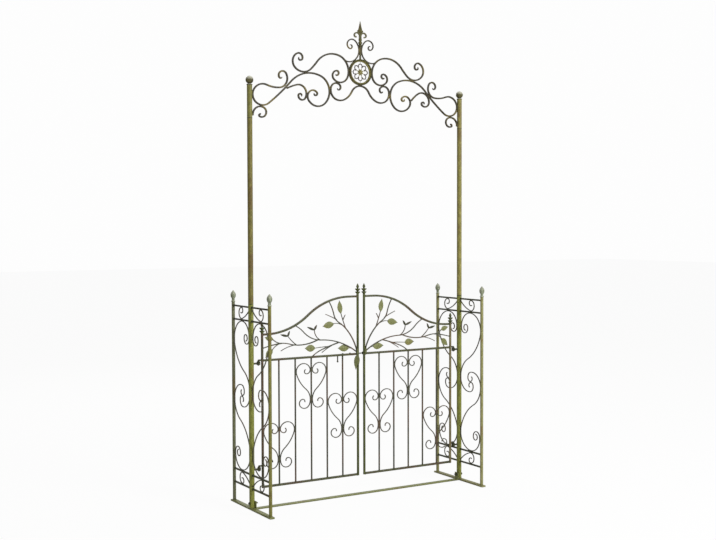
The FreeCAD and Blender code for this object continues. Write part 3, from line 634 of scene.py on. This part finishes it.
def tube_faces(steps, sides):
    # Faces of a closed tube made of rings of points, with a cap at either end
    faces = [tuple(range(sides)), tuple(steps * sides + k for k in range(sides))]
    for i in range(steps):
        for k in range(sides):
            here, there, after = i * sides, (i + 1) * sides, (k + 1) % sides
            faces.append((here + k, here + after, there + after, there + k))
    return faces


def tongue(x, z, heading, turn, bar):
    angle = math.radians(heading)
    step = math.radians(turn) / TONGUE_STEPS
    points = []
    for i in range(TONGUE_STEPS + 1):
        share = i / TONGUE_STEPS
        half = bar / 2 * (1 - (1 - TONGUE_END) * share)
        aside = Vector((-math.sin(angle), 0, math.cos(angle)))
        points += [(Vector((x, v * half, z)) + aside * (u * half)) * MM for u, v in SECTION]
        length = abs(step) * (TONGUE_RADII[0] + (TONGUE_RADII[1] - TONGUE_RADII[0]) * share)
        x += length * math.cos(angle + step / 2)
        z += length * math.sin(angle + step / 2)
        angle += step
    faces = tube_faces(TONGUE_STEPS, len(SECTION))
    return mesh_piece("tongue", points, [], faces, paints["crown_bar"])


tongues = []
for x, z, heading, turn, bar, both_sides in CURL_ENDS:
    tongues.append(tongue(x, z, heading, turn, bar))
    if both_sides:
        tongues.append(tongue(-x, z, 180 - heading, -turn, bar))
tips = joined(tongues, "crown_curl_tips")
close_up()
bpy.ops.object.shade_smooth_by_angle(angle=CORNER_ANGLE)
stands_for(tips, "frame", "crown_bars")

# %% [markdown]
# ## Medallion
# The medallion is a casting: a bead lines the inside of its ring, and a flower of eight loops
# hangs in it on short ties. Rods run through the middle from loop to loop and carry a small star.
# It could be cut from a plate, but then its edges would be flat, and those of a casting are round.
# It is a plain geometric figure, so every line of it is a wire between points on circles.

# %% Medallion
RING_Z = 2100.0
BEAD_RING_R = 55.0
BEAD_R = 3.0
BEAD_Y = 2.4              # the bead is two wires side by side
BEAD_POINTS = 96
LOOPS = 8
LOOP_CENTRE = 30.5
LOOP_R = 10.4
LOOP_OPEN = math.radians(50)     # half of the gap that each loop leaves towards the middle
LOOP_STEPS = 18
LOOP_WIRE_R = 2.5
TIE_R = 0.9
ROD_R = 1.4
ROD_REACH = 24.5          # up to where two loops meet
STAR_R = 18.0
STAR_WIRE_R = 1.4
STAR_SKIP = 3             # a line of the star runs to the third point from it
HUB_R = 5.0
HUB_Y = 3.5               # half the length of the hub


def on_ring(radius, angle, y=0.0):
    return Vector((radius * math.cos(angle), y, RING_Z + radius * math.sin(angle)))


def loop_points(turn):
    # Round from one side of the gap to the other, the gap facing the middle
    centre = on_ring(LOOP_CENTRE, turn)
    start, end = LOOP_OPEN - math.pi, math.pi - LOOP_OPEN
    angles = [turn + start + (end - start) * i / LOOP_STEPS for i in range(LOOP_STEPS + 1)]
    return [centre + Vector((math.cos(a), 0, math.sin(a))) * LOOP_R for a in angles]


casting = []
for y in (-BEAD_Y, BEAD_Y):
    circle = [on_ring(BEAD_RING_R, 2 * math.pi * i / BEAD_POINTS, y) for i in range(BEAD_POINTS)]
    casting.append(wire(circle, BEAD_R, "medallion", closed=True))
for number in range(LOOPS):
    turn = 2 * math.pi * number / LOOPS
    between = turn + math.pi / LOOPS
    casting.append(wire(loop_points(turn), LOOP_WIRE_R, "medallion_flower"))
    casting.append(wire([on_ring(LOOP_CENTRE + LOOP_R, turn), on_ring(BEAD_RING_R, turn)],
                        TIE_R, "medallion_flower"))
    far = between + 2 * math.pi * STAR_SKIP / LOOPS
    casting.append(wire([on_ring(STAR_R, between), on_ring(STAR_R, far)],
                        STAR_WIRE_R, "medallion"))
for number in range(LOOPS // 2):
    turn = math.pi * (2 * number + 1) / LOOPS
    casting.append(wire([on_ring(ROD_REACH, turn), on_ring(ROD_REACH, turn + math.pi)],
                        ROD_R, "medallion"))
casting.append(cone_between(Vector((0, -HUB_Y, RING_Z)), Vector((0, HUB_Y, RING_Z)),
                            HUB_R, HUB_R, 24, "medallion"))
flower = joined(casting, "medallion_flower")
stands_for(flower, "frame", "medallion", "crown_medallion_rosette")

# %% [markdown]
# ## Rope edge of the medallion
# A rope edge runs round both faces of the ring. Rope is two strands that wind round one line, so
# each strand is a helical wire. A bump in the paint would be quicker, but it leaves a smooth
# outline, and the edge of the ring is seen against the light.

# %% Rope edge of the medallion
ROPE_R = 60.5             # of the ring that the rope follows
ROPE_Y = 6.6
STRAND_R = 1.9
STRAND_SWING = 1.7        # from the line of the rope to the middle of a strand
ROPE_TURNS = 40
ROPE_STEPS = 8            # points for each turn


def rope_strand(y, phase):
    points = []
    for i in range(ROPE_TURNS * ROPE_STEPS):
        angle = 2 * math.pi * i / (ROPE_TURNS * ROPE_STEPS)
        twist = ROPE_TURNS * angle + phase
        points.append(on_ring(ROPE_R + STRAND_SWING * math.cos(twist), angle,
                              y + STRAND_SWING * math.sin(twist)))
    return wire(points, STRAND_R, "spear_casting", closed=True)


strands = [rope_strand(y, phase) for y in (-ROPE_Y, ROPE_Y) for phase in (0, math.pi)]
stands_for(joined(strands, "medallion_rope"), "frame", "medallion")

# %% [markdown]
# ## Stile finials
# Each stile ends in a small casting: two open cups on a stem and a pointed bud. A cup has a thick
# rolled lip, which catches a line of light. A casting that is round all over is one outline spun
# about its middle, so the outline is the only thing to draw.

# %% Stile finials
SPIN_STEPS = 40
FINIAL_OUTLINE = (        # distance from the middle and height above the stile
    (0, 0), (5.8, 0), (6.2, 2), (8.6, 5), (12.0, 8.4), (12.7, 10.2), (12.2, 11.9), (10.6, 12.4),
    (6.2, 10.4), (4.8, 11.6), (4.8, 14.2), (7.0, 17.6), (10.8, 21.4), (13.0, 24.0), (13.3, 25.8),
    (12.6, 27.2), (11.0, 27.5), (6.2, 25.0), (4.3, 26.8), (3.8, 30.6), (6.0, 33.2), (7.1, 36.0),
    (6.5, 40.0), (4.2, 46.0), (1.7, 51.5), (0, 54),
)


def spun(outline, foot, tone):
    # Spin an outline once round the upright line through its foot, all in millimetres
    points = [(foot + Vector((radius, 0, z))) * MM for radius, z in outline]
    edges = [(i, i + 1) for i in range(len(points) - 1)]
    piece = mesh_piece("casting", points, edges, [], paints[tone])
    bpy.ops.object.mode_set(mode="EDIT")
    bpy.ops.mesh.select_all(action="SELECT")
    bpy.ops.mesh.spin(steps=SPIN_STEPS, angle=2 * math.pi, center=foot * MM, axis=(0, 0, 1))
    bpy.ops.object.mode_set(mode="OBJECT")
    close_up()
    bpy.ops.object.shade_smooth_by_angle(angle=CORNER_ANGLE)
    return piece


def middle_of(node, end):
    # The middle of a node's lower end (0) or upper end (1)
    box = box_mm(node)
    return Vector(((box[0].x + box[1].x) / 2, (box[0].y + box[1].y) / 2, box[end].z))


for body in ("left_leaf", "right_leaf"):
    castings = [spun(FINIAL_OUTLINE, middle_of(body + stile, 1), "meeting_stile")
                for stile in ("_hinge_stile", "_meeting_stile")]
    finials = joined(castings, body + "_stile_castings")
    stands_for(finials, body, "finial_castings", body + "_stile_finials")

# %% [markdown]
# ## Seams of the posts
# Each main post is three tubes pushed together. The narrow gap of each seam lies in shade and
# shows as a thin dark line round the post, so a dark band is put there as painted shadow. Paint
# would need a pattern that knows how high each seam is.
# A band that stands a third of a millimetre proud, at the lower end of an upper tube, needs none.

# %% Seams of the posts
SEAM_SHADOW_OUTLINE = (             # distance from the middle and height above the seam
    (12.3, -1.9), (12.8, -1.5), (12.8, 1.5), (12.3, 1.9), (12.3, -1.9),
)
# Painted shadow: a dark band at each seam stands for the shade in its gap
seam_shadows = [spun(SEAM_SHADOW_OUTLINE, middle_of(upper_tube, 0), "hardware")
         for side in ("left", "right")
         for upper_tube in ("crown_" + side + "_sleeve", side + "_upper_post")]
stands_for(joined(seam_shadows, "post_seam_shadows"), "frame", "main_tubes")

# %% [markdown]
# ## Bolts of the ground bar
# A washer and a hexagon head sit outside each main post. Inside the tab there is a second washer
# and a wing nut, which is what a hand tightens when the arch is put together on a lawn. Such
# parts could be spun from an outline, but a head has six sides, and a row of short cylinders and
# cones takes any number of them. The ears of the nut are flattened balls.

# %% Bolts of the ground bar
BOLT_Z = 30.0
POST_SIDE = 618.5         # outer side of a main post
TAB_SIDE = 588.5          # inner side of a tab
OUTSIDE = (               # start and end outwards from the post, radius at either end, sides
    (0, 1.4, 7.0, 7.0, 32), (1.4, 5.0, 5.8, 5.8, 6), (5.0, 5.8, 5.8, 4.6, 6),
)
INSIDE = (                # the same inwards from the tab: the shank, the washer and the nut
    (TAB_SIDE - POST_SIDE, 11, 3.0, 3.0, 24), (0, 1.4, 7.0, 7.0, 32), (1.4, 7.9, 5.2, 4.0, 24),
)
EAR_SIZE = (4.6, 5.6, 1.5)
EAR_X = 5.9               # inwards from the tab
EAR_Y = 7.5
EAR_LEAN = math.radians(20)


def turned(side, surface, way, rows):
    return [cone_between(Vector((side * (surface + way * start), 0, BOLT_Z)),
                         Vector((side * (surface + way * end), 0, BOLT_Z)), *shape, "hardware")
            for start, end, *shape in rows]


def ear(side, y_side):
    # One ear of the wing nut, which leans away from the tab
    bpy.ops.object.select_all(action="DESELECT")
    bpy.ops.mesh.primitive_uv_sphere_add(segments=24, ring_count=12, radius=1.0)
    piece = bpy.context.object
    piece.scale = Vector(EAR_SIZE) * MM
    piece.location = Vector((side * (TAB_SIDE - EAR_X), y_side * EAR_Y, BOLT_Z)) * MM
    piece.rotation_euler = (0, 0, EAR_LEAN * side * y_side)
    bpy.ops.object.transform_apply(location=True, rotation=True, scale=True)
    bpy.ops.object.shade_smooth()
    piece.data.materials.append(paints["hardware"])
    return piece


fasteners = []
for side in (-1, 1):
    fasteners += turned(side, POST_SIDE, 1, OUTSIDE) + turned(side, TAB_SIDE, -1, INSIDE)
    fasteners += [ear(side, 1), ear(side, -1)]
bolts = joined(fasteners, "ground_bar_bolts")
bpy.ops.object.shade_smooth_by_angle(angle=CORNER_ANGLE)
stands_for(bolts, "frame", "hardware", "tie_bar_bolts")

# %% [markdown]
# ## Welds
# The arch is put together with short arc welds. Each weld is a row of small frozen drops along the
# line where two bars meet, and paint only rounds them. A smooth fillet would look like a casting,
# so the drops stay separate. The meeting lines come from the frame: a point of one piece that lies
# on the surface of another piece of the same body is on one. A drop is a ball of a few dozen
# faces, because it is repeated hundreds of times.

# %% Welds
WELD_TOUCH = 0.15         # a point this near another surface lies on it
WELD_STEP = 2.6           # from one drop to the next
WELD_R = 1.6
DROP_SIZES = (0.8, 0.4)   # the smallest drop, and how much larger the largest is
DROP_SPREAD = 0.618       # steps of the golden ratio spread the sizes evenly
CROWN_WELDED = ("crown_left_scrolls", "crown_right_scrolls", "crown_upper_scrolls",
                "crown_lower_scroll", "crown_crest_scrolls")
PANEL_WELDED = ("panel_scrolls", "band_scrolls", "panel_top_rails", "panel_bottom_rails",
                "front_post", "rear_post", "lower_post", "hinge_eyes")
LEAF_WELDED = ("bars", "top_rail", "mid_rail", "bottom_rail", "heart_scrolls", "vine_stems",
               "hinge_pins")
WELDS = (                 # piece, body, tone, slot and the nodes that the drops lie on
    ("crown_welds", "frame", "crown_bar", "crown_bars", CROWN_WELDED),
    ("panel_welds", "frame", "grey_tube", "panel_rails",
     [side + "_" + name for side in ("left", "right") for name in PANEL_WELDED]),
    ("left_leaf_welds", "left_leaf", "gate_rail", "gate_bars",
     ["left_leaf_" + name for name in LEAF_WELDED]),
    ("right_leaf_welds", "right_leaf", "gate_rail", "gate_bars",
     ["right_leaf_" + name for name in LEAF_WELDED]),
)
# Pushed in, screwed on, cast or pressed
NOT_WELDED = ("couplers", "finials", "rosette", "bolts", "leaves", "upper_post")


def near_box(point, box, reach):
    return all(low - reach <= value <= high + reach for value, low, high in zip(point, *box))


def meeting_points(name, others):
    # Corners of one piece that lie on its neighbours, thinned out to one drop each
    reach = WELD_TOUCH * MM
    cells = {}
    for other in others:
        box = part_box(other)
        mesh = nodes[other].data
        surface = BVHTree.FromPolygons([vertex.co for vertex in mesh.vertices],
                                       [polygon.vertices for polygon in mesh.polygons])
        for vertex in nodes[name].data.vertices:
            point = vertex.co
            if near_box(point, box, reach) and surface.find_nearest(point, reach)[0] is not None:
                cell = tuple(round(value / (WELD_STEP * MM)) for value in point)
                cells.setdefault(cell, point.copy())
    return list(cells.values())


def weld_beads(name, places, paint):
    # One mesh of round drops that differ a little in size
    bpy.ops.object.select_all(action="DESELECT")
    bpy.ops.mesh.primitive_uv_sphere_add(segments=8, ring_count=5, radius=WELD_R * MM)
    drop = bpy.context.object
    corners = [vertex.co.copy() for vertex in drop.data.vertices]
    sides = [tuple(polygon.vertices) for polygon in drop.data.polygons]
    bpy.data.objects.remove(drop)
    points, faces = [], []
    for number, place in enumerate(places):
        size = DROP_SIZES[0] + DROP_SIZES[1] * (DROP_SPREAD * number % 1)
        first = len(points)
        points += [place + corner * size for corner in corners]
        faces += [tuple(first + k for k in side) for side in sides]
    beads = mesh_piece(name, points, [], faces, paint)
    bpy.ops.object.shade_smooth()
    return beads


for title, body, tone, slot, names in WELDS:
    members = [node for node in frame["record"]["behaviour"]["bodies"][body]
               if not any(word in node for word in NOT_WELDED)]
    places = []
    for name in names:
        places += meeting_points(name, [other for other in members if other != name])
    stands_for(weld_beads(title, places, paints[tone]), body, slot)
    print(title, "drops:", len(places))
